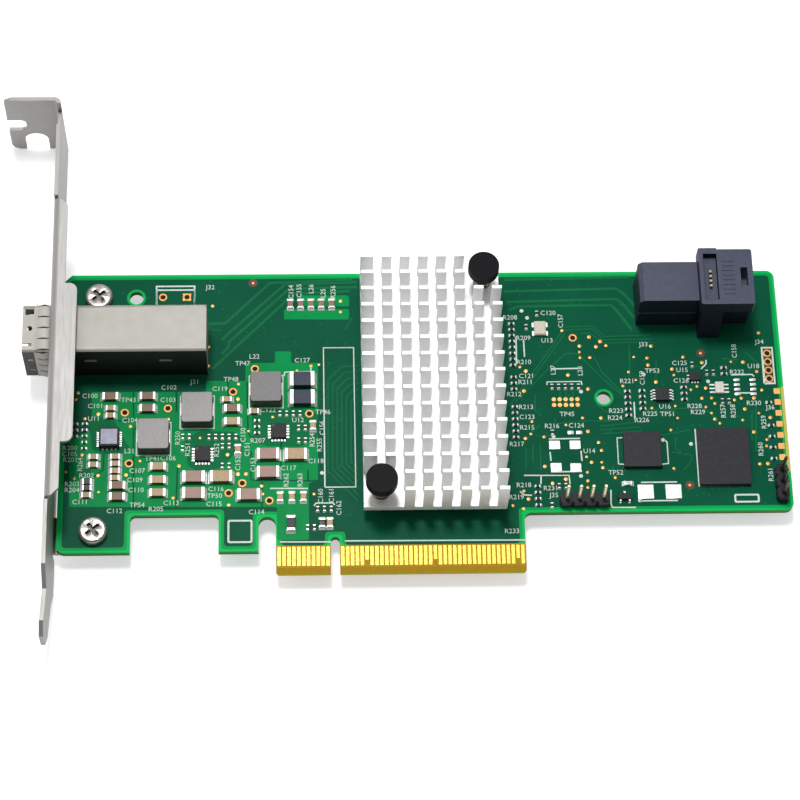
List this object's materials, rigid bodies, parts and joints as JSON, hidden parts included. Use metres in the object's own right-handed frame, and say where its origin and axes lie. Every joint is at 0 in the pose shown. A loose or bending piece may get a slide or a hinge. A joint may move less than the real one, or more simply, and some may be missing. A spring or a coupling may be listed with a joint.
{
  "type": "host bus adapter",
  "caption": "Low-profile storage host bus adapter card with full-height bracket, pin-fin heat sink, external and internal cable ports and gold edge contacts.",
  "frame": {"origin": "middle of the key notch, on the contact edge and in the component face of the board", "axes": "+X along the card from the bracket to the far end, +Y up from the contact edge, +Z out of the component face"},
  "size_m": [0.1653, 0.1201, 0.0204],
  "materials": {
    "board_laminate": "satin green mask",
    "contact_gold": "polished",
    "bracket_steel": "satin",
    "screw_nickel": "bright",
    "cage_nickel": "satin",
    "connector_black": "matte",
    "sink_aluminium": "bead blasted",
    "pin_black": "satin",
    "spring_brass": "satin",
    "pad_grey": "soft",
    "chip_black": "matte",
    "inductor_grey": "matte",
    "solder_tin": "bright",
    "module_lavender": "satin",
    "capacitor_tan": "matte",
    "resistor_black": "gloss",
    "fuse_ivory": "matte",
    "ceramic_white": "matte",
    "oscillator_beige": "satin",
    "light_clear": "clear",
    "header_black": "matte"
  },
  "bodies": {
    "root": {"circuit_board": "board_laminate", "edge_contacts_front": "contact_gold", "edge_contacts_back": "contact_gold", "bracket": "bracket_steel", "bracket_screws": "screw_nickel", "external_port_cage": "cage_nickel", "external_port_spring_collar": "cage_nickel", "external_port_receptacle": "connector_black", "external_port_contacts": "contact_gold", "heat_sink": "sink_aluminium", "push_pins": "pin_black", "push_pin_springs": "spring_brass", "thermal_pad": "pad_grey", "controller_chip": "chip_black", "internal_port_housing": "connector_black", "internal_port_insert": "connector_black", "internal_port_contacts": "contact_gold", "power_inductors": "inductor_grey", "power_inductor_terminals": "solder_tin", "regulator_module": "module_lavender", "regulator_chips": "chip_black", "moulded_capacitors": "chip_black", "moulded_capacitor_ends": "solder_tin", "large_capacitors": "capacitor_tan", "large_capacitor_ends": "solder_tin", "medium_capacitors": "capacitor_tan", "medium_capacitor_ends": "solder_tin", "small_capacitors": "capacitor_tan", "small_capacitor_ends": "solder_tin", "chip_resistors": "resistor_black", "chip_resistor_ends": "solder_tin", "fuse": "fuse_ivory", "fuse_ends": "solder_tin", "tiny_capacitors": "capacitor_tan", "tiny_resistors": "resistor_black", "flash_chip": "chip_black", "memory_chip": "chip_black", "interface_chip": "chip_black", "interface_chip_leads": "solder_tin", "logic_chip": "chip_black", "resonator": "ceramic_white", "clock_oscillator": "oscillator_beige", "transistor": "chip_black", "transistor_leads": "solder_tin", "status_light": "light_clear", "status_light_ends": "solder_tin", "pin_header_body": "header_black", "pin_header_pins": "contact_gold", "edge_header_body": "header_black", "edge_header_pins": "contact_gold"}
  },
  "joints": []
}
